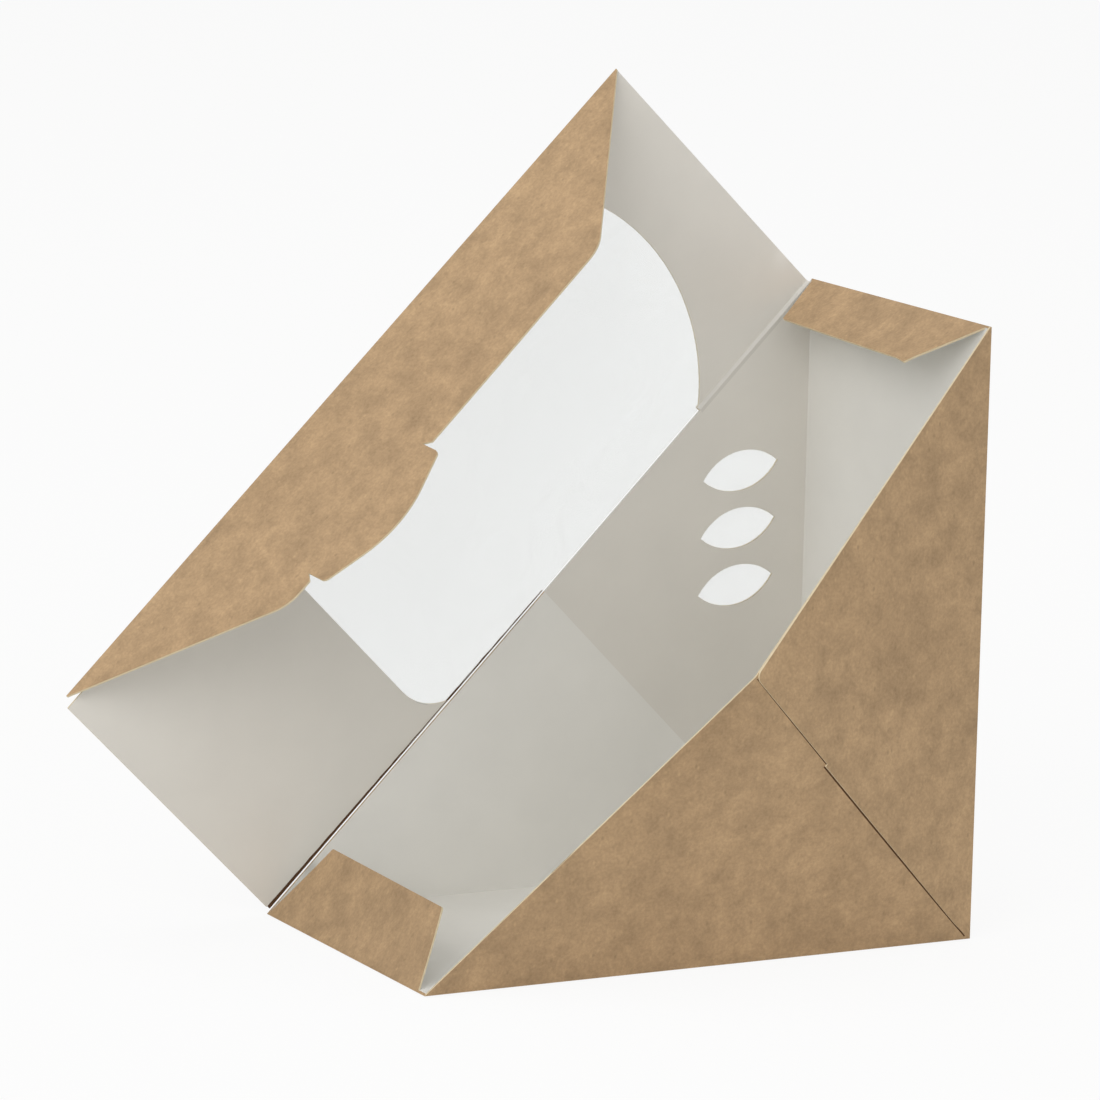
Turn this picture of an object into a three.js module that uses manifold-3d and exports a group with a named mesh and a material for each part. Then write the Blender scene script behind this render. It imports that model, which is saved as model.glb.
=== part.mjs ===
// A front-loading sandwich wedge pack: one sheet of kraft board, lined white inside, folded and
// glued into a wedge. It stands open on its bottom panel. The mouth runs from the front edge of
// the bottom panel up to the top edge of the back panel, and the lid is hinged on the mouth's
// far edge. Millimetres, +Z up, origin at the centre of the bottom panel's outer face, -X
// towards the mouth, +Y towards the side that carries the lid.
import * as THREE from 'three';
import { ConvexGeometry } from 'three/addons/geometries/ConvexGeometry.js';
import { mergeVertices } from 'three/addons/utils/BufferGeometryUtils.js';
import Module from 'manifold-3d';

const wasm = await Module();
wasm.setup();

// Board, film and clearances
const BOARD = 0.4;              // thickness of the folded board
const FILM = 0.2;               // thickness of the clear film
const GAP = 0.3;                // air between pieces that meet
const GLUE_SINK = 0.05;         // how far one glued layer is pressed into the next
const FOLD_INSET = 0.15;        // a layer glued on a panel starts this far from the panel's fold

// Wedge
const LEG = 123;                // depth of the bottom panel, height of the back panel
const WIDTH = 66;               // across the pack, outside of wall to outside of wall
const CORNER_ANGLE = 88.6;      // between the bottom and back panels, degrees
const HALF_ANGLE = 45;          // each side half at the back bottom corner, degrees
const TIP_RADIUS = 1.6;         // rounded tip of the near side's upper half
const SEAM_CUT = 28;            // length of the near seam that is a bare cut edge, from the tip
const SEAM_LAP = 0.7;           // how far that cut edge laps past the folded rest of the seam
const GLUE_FLAP = 16;           // width of the glue flap at the mouth
const GLUE_FLAP_FOOT = 7;       // its width at the back bottom corner
const GLUE_FLAP_START = 9;      // from the back bottom corner along the seam
const GLUE_FLAP_CUT = 5;        // its bevel at the mouth

// Dust flaps on the bottom and back panels
const DUST_DEPTH = 16.8;
const DUST_INSET = 2.5;         // relief from each side wall at the fold
const DUST_TAPER = 9;           // how far each end slopes in over the flap's depth
const DUST_RADIUS = 1.2;

// Lens-shaped side windows in the far side's upper half
const VENT_COUNT = 3;
const VENT_LENGTH = 17.9;
const VENT_WIDTH = 8.2;
const VENT_TILT = 12;           // degrees, tip at the back raised
const VENT_FROM_BACK = 16.4;    // centre from the back fold
const VENT_LOWEST = 60.5;       // lowest centre above the bottom, along the back fold
const VENT_PITCH = 11.9;

// Lid, its window and the slit that frees its lower half
const LID_WIDTH = 64.5;
const LID_OPEN = 90;            // from closed, degrees
const LID_END = 1;              // the lid stops this short of each end of the mouth
const LID_RADIUS = 1.5;
const SLIT_WIDTH = 1;           // width of the slit at the front edge
const WINDOW_FAR = 56;          // window's outer edge from the hinge
const WINDOW_TOP = 21.1;        // window's upper end from the top of the mouth
const WINDOW_TOP_RADIUS = 43;   // that end is one arc
const WINDOW_TOP_CENTRE = 33;   // arc's centre from the hinge
const WINDOW_FOOT = 121;        // window's lower end from the top of the mouth
const WINDOW_FOOT_RADIUS = 10.4;
const WINDOW_FOOT_CENTRE = 11;  // centre of the corner by the slit, from the hinge
const WINDOW_FAR_RADIUS = 8;

// Tuck flap on the lid's free edge
const TUCK_ANGLE = 80;          // between the lid and the flap, degrees
const TUCK_DEPTH = 34;
const TUCK_TAPER = 37;          // how far each end slopes in over the flap's depth
const TUCK_INSET = 1.5;
const TUCK_RADIUS = 8;
const TAB_CENTRE = 108;         // from the top of the mouth
const TAB_WIDTH = 33.5;
const TAB_SHOULDER = 3.6;       // straight side of the tab past the flap's edge
const TAB_CROWN = 10.6;         // height of the crown's corner before it is rounded
const TAB_SHOULDER_RADIUS = 1.6;
const TAB_CROWN_RADIUS = 30;
const NICK_WIDTH = 1.3;         // small cut on each side of the tab
const NICK_DEPTH = 1.9;

const CURVE_STEPS = 10;         // facets on each rounded corner or arc
const rad = THREE.MathUtils.degToRad;

// Corners of the wedge, on the outside of the board
const yAxis = new THREE.Vector3(0, 1, 0);
const xAxis = new THREE.Vector3(1, 0, 0);
const backUp = new THREE.Vector3(-Math.cos(rad(CORNER_ANGLE)), 0, Math.sin(rad(CORNER_ANGLE)));
const cornerNear = new THREE.Vector3(LEG / 2, -WIDTH / 2, 0);
const cornerFar = new THREE.Vector3(LEG / 2, WIDTH / 2, 0);
const frontNear = new THREE.Vector3(-LEG / 2, -WIDTH / 2, 0);
const frontFar = new THREE.Vector3(-LEG / 2, WIDTH / 2, 0);
const topNear = cornerNear.clone().addScaledVector(backUp, LEG);
const topFar = cornerFar.clone().addScaledVector(backUp, LEG);
const inside = new THREE.Vector3(LEG / 6, 0, LEG / 3);

// The mouth: its length, the way up along it and the way out of it
const mouthUp = topFar.clone().sub(frontFar).normalize();
const mouthOut = new THREE.Vector3().crossVectors(mouthUp, yAxis);
const mouthLength = topFar.distanceTo(frontFar);

// Each side is two half-triangles that meet on a seam from the back bottom corner. They add up
// to slightly more than the angle between the panels, so the near side buckles outwards.
const seamLength = LEG * Math.cos(rad(HALF_ANGLE));
const seamWay = xAxis.clone().negate().add(backUp).normalize();
const buckleCos = Math.cos(rad(HALF_ANGLE)) / Math.cos(rad(CORNER_ANGLE / 2));
const buckle = Math.acos(Math.min(1, buckleCos));
const seamTipNear = cornerNear.clone()
  .addScaledVector(seamWay, seamLength * Math.cos(buckle))
  .addScaledVector(yAxis, -seamLength * Math.sin(buckle));
const seamTipFar = frontFar.clone().add(topFar).multiplyScalar(0.5);

// A panel's frame: x along its fold, y across it towards the leaf point, and z from its outer
// face into the board. It is left-handed on half of the panels.
function panelFrame(origin, foldEnd, leaf) {
  const along = foldEnd.clone().sub(origin).normalize();
  const inwards = new THREE.Vector3().crossVectors(along, leaf.clone().sub(origin)).normalize();
  const across = new THREE.Vector3().crossVectors(inwards, along);
  if (inwards.dot(inside.clone().sub(origin)) < 0) inwards.negate();
  return new THREE.Matrix4().makeBasis(along, across, inwards).setPosition(origin);
}

function inFrame(frame, point) {
  const local = point.clone().applyMatrix4(frame.clone().invert());
  return [local.x, local.y];
}

// Closed outline from [x, y, corner radius] points, each rounded corner a tangent arc
function roundedShape(points) {
  const shape = new THREE.Shape();
  points.forEach(([x, y, radius = 0], i) => {
    const corner = new THREE.Vector2(x, y);
    const before = points[(i + points.length - 1) % points.length];
    const after = points[(i + 1) % points.length];
    const back = new THREE.Vector2(before[0], before[1]).sub(corner);
    const ahead = new THREE.Vector2(after[0], after[1]).sub(corner);
    const half = Math.acos(back.dot(ahead) / (back.length() * ahead.length())) / 2;
    const room = Math.min(back.length(), ahead.length()) / 2;
    const reach = radius > 0 ? Math.min(radius / Math.tan(half), room) : 0;
    const start = corner.clone().addScaledVector(back.normalize(), reach);
    const end = corner.clone().addScaledVector(ahead.normalize(), reach);
    if (i === 0) shape.moveTo(start.x, start.y);
    else shape.lineTo(start.x, start.y);
    if (reach > 0) {
      const middle = back.clone().add(ahead).normalize();
      const centre = corner.clone().addScaledVector(middle, reach / Math.cos(half));
      const from = start.clone().sub(centre);
      const to = end.clone().sub(centre);
      shape.absarc(centre.x, centre.y, from.length(), from.angle(), to.angle(), from.cross(to) < 0);
    }
  });
  shape.closePath();
  return shape;
}

// A left-handed frame turns a geometry's faces inside out, so they are turned back
function solidOf(geometry, mirrored = false) {
  geometry.deleteAttribute('normal');
  geometry.deleteAttribute('uv');
  const merged = mergeVertices(geometry);
  const triangles = Uint32Array.from(merged.index.array);
  return new wasm.Manifold(new wasm.Mesh({
    numProp: 3,
    vertProperties: Float32Array.from(merged.attributes.position.array),
    triVerts: mirrored ? triangles.reverse() : triangles,
  }));
}

// Outline extruded from one depth below the outer face, set in its panel's frame
function plate(shape, frame = new THREE.Matrix4(), thickness = BOARD, depth = 0) {
  const settings = { depth: thickness, bevelEnabled: false, curveSegments: CURVE_STEPS };
  const geometry = new THREE.ExtrudeGeometry(shape, settings);
  geometry.translate(0, 0, depth);
  geometry.applyMatrix4(frame);
  return solidOf(geometry, frame.determinant() < 0);
}

function meshOf(solid, name, material) {
  const { vertProperties, triVerts } = solid.getMesh();
  const geometry = new THREE.BufferGeometry();
  geometry.setAttribute('position', new THREE.BufferAttribute(vertProperties, 3));
  geometry.setIndex(new THREE.BufferAttribute(triVerts, 1));
  geometry.computeVertexNormals();
  const mesh = new THREE.Mesh(geometry, material);
  mesh.name = name;
  return mesh;
}

// Lens between two equal arcs, pointed at both ends, centred and turned
function lensShape(length, width, x, y, turn) {
  const radius = (length * length + width * width) / (4 * width);
  const sweep = Math.asin(length / 2 / radius);
  const offset = radius - width / 2;
  const up = turn + Math.PI / 2;
  const shape = new THREE.Shape();
  for (const side of [1, -1]) {
    const facing = side > 0 ? up : up + Math.PI;
    const centreX = x - side * offset * Math.cos(up);
    const centreY = y - side * offset * Math.sin(up);
    shape.absarc(centreX, centreY, radius, facing - sweep, facing + sweep, false);
  }
  return shape;
}

// Plane through three corners, moved one board into the pack
function innerFace(a, b, c) {
  const plane = new THREE.Plane().setFromCoplanarPoints(a, b, c);
  if (plane.distanceToPoint(inside) < 0) plane.negate();
  plane.constant -= BOARD;
  return plane;
}

function meet(first, second, third) {
  const cross = (a, b) => new THREE.Vector3().crossVectors(a.normal, b.normal);
  return cross(second, third).multiplyScalar(-first.constant)
    .addScaledVector(cross(third, first), -second.constant)
    .addScaledVector(cross(first, second), -third.constant)
    .divideScalar(first.normal.dot(cross(second, third)));
}

// The hollow that the folded panels enclose, run out through the mouth
function hollow() {
  const bottom = innerFace(frontNear, cornerNear, cornerFar);
  const back = innerFace(cornerNear, topNear, topFar);
  const far = innerFace(frontFar, cornerFar, topFar);
  const lower = innerFace(frontNear, cornerNear, seamTipNear);
  const upper = innerFace(topNear, cornerNear, seamTipNear);
  const past = new THREE.Plane().setFromNormalAndCoplanarPoint(mouthOut, topFar);
  past.constant -= DUST_DEPTH;
  return solidOf(new ConvexGeometry([
    meet(bottom, lower, upper),
    meet(bottom, back, far),
    meet(bottom, lower, past),
    meet(bottom, far, past),
    meet(back, upper, past),
    meet(back, far, past),
    meet(lower, upper, past),
  ]));
}

// Points on a side's upper half, from the back bottom corner: along the seam and past it
function seamPoint(along, past) {
  const slope = Math.SQRT1_2;
  return [LEG + slope * (past - along), slope * (past + along)];
}

// Near side's upper half: it lies on the lower half's glue flap, one board proud at the mouth.
// Above the seam's folded stretch its edge is bare and laps a little past the seam.
function nearUpperFrame(sink) {
  const upper = panelFrame(topNear, cornerNear, seamTipNear);
  const inwards = new THREE.Vector3().setFromMatrixColumn(upper, 2);
  return panelFrame(
    topNear.clone().addScaledVector(inwards, sink),
    cornerNear.clone().addScaledVector(inwards, sink),
    seamTipNear.clone().addScaledVector(inwards, -BOARD),
  );
}

function nearUpperHalf() {
  const cutStart = seamLength - SEAM_CUT;
  const outline = roundedShape([
    [0, FOLD_INSET],
    [LEG - FOLD_INSET, FOLD_INSET],
    [...seamPoint(cutStart, 0)],
    [...seamPoint(cutStart, SEAM_LAP)],
    [...seamPoint(seamLength, SEAM_LAP), TIP_RADIUS],
  ]);
  return plate(outline, nearUpperFrame(GLUE_SINK), BOARD * 2);
}

// What the glue flap doesn't back: there the upper half is one board thick
function nearUpperRecess() {
  const outline = roundedShape([
    [-BOARD, BOARD * 2],
    [LEG - GLUE_FLAP_START, BOARD * 2],
    seamPoint(GLUE_FLAP_START, -GLUE_FLAP_FOOT),
    seamPoint(seamLength - GLUE_FLAP_CUT, -GLUE_FLAP),
    seamPoint(seamLength + BOARD, -GLUE_FLAP + GLUE_FLAP_CUT),
  ]);
  return plate(outline, nearUpperFrame(0), BOARD * 2, BOARD);
}

// Far side's glue flap, outside on its upper half
function farGlueFlap() {
  const outline = roundedShape([
    seamPoint(GLUE_FLAP_START, 0),
    seamPoint(GLUE_FLAP_START, -GLUE_FLAP_FOOT),
    seamPoint(seamLength - GLUE_FLAP_CUT * 2, -GLUE_FLAP),
    seamPoint(seamLength - GLUE_FLAP_CUT, -GLUE_FLAP + GLUE_FLAP_CUT),
    seamPoint(seamLength - GLUE_FLAP_CUT, 0),
  ]);
  return plate(outline, panelFrame(topFar, cornerFar, seamTipFar), BOARD, GLUE_SINK - BOARD);
}

function farUpperFrame() {
  return panelFrame(cornerFar, topFar, seamTipFar);
}

function ventShapes(inset) {
  return Array.from({ length: VENT_COUNT }, (_, i) => lensShape(
    VENT_LENGTH - 2 * inset * VENT_LENGTH / VENT_WIDTH,
    VENT_WIDTH - 2 * inset,
    VENT_LOWEST + i * VENT_PITCH,
    VENT_FROM_BACK,
    rad(-90 + VENT_TILT),
  ));
}

// Dust flap: kraft face just inside the plane of the mouth, under the closed lid. It starts
// inside the board of the panel that it is folded from.
function dustFlap(foldStart, foldEnd, leaf) {
  const frame = panelFrame(foldStart, foldEnd, leaf);
  const foldAngle = rad(180 - CORNER_ANGLE) / 2;
  const root = (BOARD + GLUE_SINK * 2) / Math.tan(foldAngle);
  const shape = roundedShape([
    [DUST_INSET, root],
    [WIDTH - DUST_INSET, root],
    [WIDTH - DUST_INSET - DUST_TAPER, DUST_DEPTH, DUST_RADIUS],
    [DUST_INSET + DUST_TAPER, DUST_DEPTH, DUST_RADIUS],
  ]);
  return plate(shape, frame, BOARD, GLUE_SINK);
}

function cartonBody() {
  const corners = [frontNear, cornerNear, topNear, seamTipNear, frontFar, cornerFar, topFar];
  const wedge = solidOf(new ConvexGeometry(corners)).add(nearUpperHalf());
  const flaps = [
    farGlueFlap(),
    dustFlap(frontFar, frontNear, topNear),
    dustFlap(topNear, topFar, frontFar),
  ];
  const cuts = ventShapes(0).map((shape) => plate(shape, farUpperFrame(), BOARD * 3, -BOARD));
  const shell = wedge.subtract(hollow()).subtract(nearUpperRecess());
  const folded = flaps.reduce((sum, flap) => sum.add(flap), shell);
  return cuts.reduce((sum, cut) => sum.subtract(cut), folded);
}

// The lid's frame: x down the mouth from its top, y across the lid from the hinge, z from the
// lined face to the kraft face, GAP clear of the mouth when the lid is closed
function lidPlate(shape, thickness, depth = 0) {
  return plate(shape, undefined, thickness, GAP + depth);
}

function lidOutline() {
  const end = mouthLength - LID_END;
  return roundedShape([
    [LID_END, 0],
    [mouthLength / 2, 0],
    [end, SLIT_WIDTH],
    [end, LID_WIDTH, LID_RADIUS],
    [LID_END, LID_WIDTH, LID_RADIUS],
  ]);
}

// Window, open towards the hinge: one arc at the top, straight far edge, rounded foot
function windowOutline(inset) {
  const past = -LID_END;
  const topRadius = WINDOW_TOP_RADIUS - inset;
  const topCentre = WINDOW_TOP + WINDOW_TOP_RADIUS;
  const far = WINDOW_FAR - inset;
  const angleAt = (y) => Math.PI - Math.asin((y - WINDOW_TOP_CENTRE) / topRadius);
  const foot = WINDOW_FOOT - inset;
  const farRadius = WINDOW_FAR_RADIUS - inset;
  const footRadius = WINDOW_FOOT_RADIUS - inset;
  const footCentre = WINDOW_FOOT - WINDOW_FOOT_RADIUS;
  const shape = new THREE.Shape();
  shape.moveTo(footCentre, past);
  shape.absarc(footCentre, WINDOW_FOOT_CENTRE, footRadius, -Math.PI / 2, 0, false);
  shape.absarc(foot - farRadius, far - farRadius, farRadius, 0, Math.PI / 2, false);
  shape.absarc(topCentre, WINDOW_TOP_CENTRE, topRadius, angleAt(far), angleAt(past), false);
  shape.closePath();
  return shape;
}

function lidBoard() {
  const cut = lidPlate(windowOutline(0), BOARD * 3, -BOARD);
  return lidPlate(lidOutline(), BOARD).subtract(cut);
}

function lidFilm() {
  return lidPlate(windowOutline(GAP), FILM).intersect(lidPlate(lidOutline(), FILM * 2, -FILM / 2));
}

// Tuck flap in its own frame: x down the mouth, y from the fold to its free edge, z through it
function tuckOutline() {
  const tabStart = TAB_CENTRE - TAB_WIDTH / 2;
  const tabEnd = TAB_CENTRE + TAB_WIDTH / 2;
  const end = mouthLength - LID_END - TUCK_INSET;
  return roundedShape([
    [LID_END + TUCK_INSET, 0],
    [end, 0],
    [end - TUCK_TAPER, TUCK_DEPTH, TUCK_RADIUS],
    [tabEnd + NICK_WIDTH, TUCK_DEPTH],
    [tabEnd, TUCK_DEPTH - NICK_DEPTH],
    [tabEnd, TUCK_DEPTH + TAB_SHOULDER, TAB_SHOULDER_RADIUS],
    [TAB_CENTRE, TUCK_DEPTH + TAB_CROWN, TAB_CROWN_RADIUS],
    [tabStart, TUCK_DEPTH + TAB_SHOULDER, TAB_SHOULDER_RADIUS],
    [tabStart, TUCK_DEPTH - NICK_DEPTH],
    [tabStart - NICK_WIDTH, TUCK_DEPTH],
    [LID_END + TUCK_INSET + TUCK_TAPER, TUCK_DEPTH, TUCK_RADIUS],
  ]);
}

// Materials
const kraft = new THREE.MeshStandardMaterial({ color: 0xa88c6c, roughness: 0.88, metalness: 0 });
const lining = new THREE.MeshStandardMaterial({ color: 0xbfbbb0, roughness: 0.75, metalness: 0 });
const film = new THREE.MeshStandardMaterial({
  color: 0xe9eeee,
  roughness: 0.15,
  metalness: 0,
  transparent: true,
  opacity: 0.3,
});

// Assembly. The lid turns about the outer edge of the far side's mouth, and the tuck flap about
// the inner edge of the lid's fold.
const part = new THREE.Group();
part.add(meshOf(cartonBody(), 'carton_body', kraft));

ventShapes(GAP).forEach((shape, i) => {
  const pane = plate(shape, farUpperFrame(), FILM, BOARD - FILM);
  part.add(meshOf(pane, `side_window_film_${i + 1}`, film));
});

const lidClosed = new THREE.Matrix4()
  .makeBasis(mouthUp.clone().negate(), yAxis.clone().negate(), mouthOut)
  .setPosition(topFar);
const lidGroup = new THREE.Group();
lidGroup.applyMatrix4(lidClosed.multiply(new THREE.Matrix4().makeRotationX(rad(LID_OPEN))));
lidGroup.add(meshOf(lidBoard(), 'lid', lining));
lidGroup.add(meshOf(lidFilm(), 'lid_window_film', film));

const tuckGroup = new THREE.Group();
tuckGroup.position.set(0, LID_WIDTH + GAP / 2, GAP);
tuckGroup.rotation.x = rad(TUCK_ANGLE) - Math.PI;
const tuck = meshOf(plate(tuckOutline()), 'tuck_flap', kraft);
tuck.position.y = GAP / 2;
tuckGroup.add(tuck);
lidGroup.add(tuckGroup);
part.add(lidGroup);

export default part;
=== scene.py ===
"""A folding sandwich wedge pack: kraft board lined white, standing open, with a windowed lid."""

import math

import bpy
import bmesh
import numpy as np
from mathutils import Matrix, Vector
from mathutils.geometry import delaunay_2d_cdt


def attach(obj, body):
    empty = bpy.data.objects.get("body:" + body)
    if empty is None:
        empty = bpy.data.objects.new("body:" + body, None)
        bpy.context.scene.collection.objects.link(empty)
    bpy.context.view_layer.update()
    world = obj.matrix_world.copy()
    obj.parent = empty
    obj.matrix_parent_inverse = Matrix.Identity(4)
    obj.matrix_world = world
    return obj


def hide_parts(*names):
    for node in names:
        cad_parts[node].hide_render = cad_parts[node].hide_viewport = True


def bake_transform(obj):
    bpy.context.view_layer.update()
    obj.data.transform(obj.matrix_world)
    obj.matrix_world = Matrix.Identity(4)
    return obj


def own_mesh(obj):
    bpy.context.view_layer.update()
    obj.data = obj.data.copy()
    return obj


bl_info = {
    "name": "Sandwich wedge pack",
    "version": (1, 0, 0),
    "blender": (4, 5, 0),
    "location": "View3D > Sidebar > Wedge pack",
    "description": "Builds a folding wedge carton with a windowed lid, board piece by board piece",
    "category": "Object",
}

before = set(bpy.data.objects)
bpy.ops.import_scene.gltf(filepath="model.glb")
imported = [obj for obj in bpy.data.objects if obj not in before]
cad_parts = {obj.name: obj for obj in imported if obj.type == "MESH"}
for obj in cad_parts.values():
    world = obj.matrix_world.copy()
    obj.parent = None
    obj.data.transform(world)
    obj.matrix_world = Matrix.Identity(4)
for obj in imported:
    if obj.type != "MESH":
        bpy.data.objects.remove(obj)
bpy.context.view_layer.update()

MM = 0.001

# The pack's own sizes, in millimetres and degrees, to the folded board's outer faces
LEG = 123
WIDTH = 66
CORNER_ANGLE = 88.6
HALF_ANGLE = 45
BOARD = 0.4
GAP = 0.3                   # air between two panels that share a hinge
CUT_SEAM = 28               # stretch of the near seam by the mouth with a bare cut edge
LAP = 0.55                  # how far the seam's folded stretch runs past the diagonal
BOTTOM_FLAP_ANGLE = 60      # of a dust flap from the panel that it is folded from
TOP_FLAP_ANGLE = 57
FLAP_DEPTH = 17
FLAP_BOW = 0.35
VENT_LOWEST = (43.35, 60.2)     # centre of the lowest side window, along X and Z
VENT_PITCH = 11.88
VENT_TILT = 12
LID_WIDTH = 64.5
LID_END = 1                 # how much the lid is short of the mouth at each end
LID_CORNER = 1.5
HINGE_CLEAR = 0.1           # from the hinge line to the lid's board
SLIT_WIDTH = 0.9            # of the slit between lid and far side, at its open end
TORN_WIDTH = 0.65           # of the torn lip in that slit, at the same end
CREASE_REACH = 0.7          # of the lid's crease to each side of the hinge
TUCK_ANGLE = 80             # between the lid and the tuck flap
TUCK_DEPTH = 34
TUCK_TAPER = 37             # how far each end slopes in over that depth
TUCK_INSET = 1.5
TUCK_RADIUS = 8
TAB_START, TAB_END = 91.25, 124.75      # the locking tab, down the mouth from its top
TAB_SHOULDER = 37.6
TAB_DEPTH = 44.6
NICK_WIDTH = 1.3
NICK_FOOT = 32.1


def unit(vector):
    return vector / np.linalg.norm(vector)


def direction(angle):
    """Unit vector in the XZ plane: cosine along X and sine along Z of an angle in degrees."""
    return np.array([math.cos(math.radians(angle)), 0, math.sin(math.radians(angle))])


y_axis = np.array([0.0, 1.0, 0.0])
back_up = direction(180 - CORNER_ANGLE)
corner_near = np.array([LEG / 2, -WIDTH / 2, 0])
front_near = np.array([-LEG / 2, -WIDTH / 2, 0])
across = np.array([0, WIDTH, 0])
corner_far, front_far = corner_near + across, front_near + across
top_near, top_far = corner_near + LEG * back_up, corner_far + LEG * back_up
middle = np.array([LEG / 6, 0, LEG / 3])
mouth_up = unit(top_far - front_far)
mouth_out = np.cross(mouth_up, y_axis)
mouth_length = np.linalg.norm(top_far - front_far)
seam_way = unit(back_up - np.array([1, 0, 0]))
seam_length = LEG * math.cos(math.radians(HALF_ANGLE))
buckle = math.acos(math.cos(math.radians(HALF_ANGLE)) / math.cos(math.radians(CORNER_ANGLE / 2)))
seam_tip = corner_near + seam_length * (math.cos(buckle) * seam_way - math.sin(buckle) * y_axis)


# Settings

def length(name, description, default):
    return bpy.props.FloatProperty(name=name, description=description, default=default,
                                   subtype="DISTANCE", unit="LENGTH", min=0)


def colour(name, description, default):
    return bpy.props.FloatVectorProperty(name=name, description=description, subtype="COLOR",
                                         size=4, min=0, max=1, default=linear(default))


def linear(hex_colour):
    """Linear RGBA of an sRGB hex value: the sRGB curve's inverse on each channel."""
    channels = np.array([int(hex_colour[i:i + 2], 16) for i in (1, 3, 5)]) / 255
    curve = np.where(channels <= 0.04045, channels / 12.92, ((channels + 0.055) / 1.055) ** 2.4)
    return (*curve.tolist(), 1.0)


class BoardSettings(bpy.types.PropertyGroup):
    thickness: length("Board", "Thickness of the folded board", BOARD * MM)
    film: length("Film", "Thickness of the clear film", 0.0001)
    crease: length("Crease", "Rounding of the folds and cut edges", 0.00012)
    mesh: length("Mesh", "Spacing of the points inside each panel", 0.003)
    wave: length("Wave", "How far the panels' gentle waves rise", 0.00035)
    kraft: colour("Kraft", "Outer face of the board", "#B09472")
    lining: colour("Lining", "White inner face of the board", "#E2E0DA")
    # Darker than the lining partly for the film and partly as painted shade on the lid and far side
    laminated: colour("Laminated lining", "Lining under the clear film, darkened partly as painted shade", "#DAD6CE")
    edge: colour("Cut edge", "The board's cut edges", "#D8C8A8")
    # Dark brown painted shadow of the seam's fold and of the slit, which also colours the torn edge
    scored: colour("Fold shadow and torn edge", "Painted dark shadow along a fold and on a torn kraft edge", "#5A412D")


class WindowSettings(bpy.types.PropertyGroup):
    film_tint: colour("Film", "Clear film", "#F2F8F8")
    film_cover: bpy.props.FloatProperty(name="Haze", description="How much the film hides",
                                        default=0.2, min=0, max=1, subtype="FACTOR")
    vent_length: length("Side window", "Length of each lens-shaped side window", 0.0179)
    vent_width: length("Side window width", "Width of each side window", 0.0082)


# Shapes in a panel's own plane, all in millimetres

def rounded(points, steps=10):
    """Closed outline from [x, y, radius] corners: each corner with a radius becomes the arc that
    is tangent to both of its sides."""
    corners = np.array([(*p, 0)[:3] for p in points], float)
    outline = []
    for i, (x, y, radius) in enumerate(corners):
        corner = np.array([x, y])
        back = corners[i - 1, :2] - corner
        ahead = corners[(i + 1) % len(corners), :2] - corner
        if radius == 0:
            outline.append([corner])
            continue
        room = min(np.linalg.norm(back), np.linalg.norm(ahead)) / 2
        back, ahead = unit(back), unit(ahead)
        half = math.acos(np.clip(back @ ahead, -1, 1)) / 2
        reach = min(radius / math.tan(half), room)
        radius = reach * math.tan(half)
        centre = corner + unit(back + ahead) * reach / math.cos(half)
        start = corner + back * reach - centre
        turn = (math.pi - 2 * half) * np.sign(start[0] * ahead[1] - start[1] * ahead[0])
        angle = math.atan2(start[1], start[0]) + np.linspace(0, turn, steps)
        outline.append(centre + radius * np.stack([np.cos(angle), np.sin(angle)], 1))
    return np.concatenate(outline)


def divided(outline, spacing):
    """The same closed outline with points no further apart than the spacing."""
    after = np.roll(outline, -1, 0)
    counts = np.maximum(1, np.ceil(np.linalg.norm(after - outline, axis=1) / spacing)).astype(int)
    start = np.repeat(outline, counts, 0)
    step = np.repeat((after - outline) / counts[:, None], counts, 0)
    index = np.arange(counts.sum()) - np.repeat(np.cumsum(counts) - counts, counts)
    return start + step * index[:, None]


def lens(centre, long, wide, turn, steps=14):
    """Lens: two arcs of one radius that meet in two points, turned and moved to its centre."""
    radius = (long ** 2 + wide ** 2) / (4 * wide)
    sweep = math.asin(long / 2 / radius)
    angle = np.linspace(-sweep, sweep, steps)[:-1]
    arc = np.stack([radius * np.sin(angle), radius * np.cos(angle) - radius + wide / 2], 1)
    both = np.concatenate([arc, -arc])
    cosine, sine = math.cos(turn), math.sin(turn)
    return both @ np.array([[cosine, sine], [-sine, cosine]]) + centre


def within(points, loop):
    """Even-odd test: how often a ray to the right of each point crosses the loop, odd or not."""
    a, b = loop, np.roll(loop, -1, 0)
    px, py = points[:, :1], points[:, 1:]
    spans = (a[:, 1] > py) != (b[:, 1] > py)
    slope = (b[:, 0] - a[:, 0]) / np.where(b[:, 1] == a[:, 1], 1, b[:, 1] - a[:, 1])
    return ((px < a[:, 0] + (py - a[:, 1]) * slope) & spans).sum(1) % 2 == 1


def from_edge(points, loop):
    """Distance from each point to the nearest side of the loop."""
    a, b = loop, np.roll(loop, -1, 0)
    side = b - a
    offset = points[:, None] - a
    share = np.clip((offset * side).sum(2) / np.maximum((side ** 2).sum(1), 1e-12), 0, 1)
    return np.linalg.norm(offset - share[:, :, None] * side, axis=2).min(1)


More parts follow.
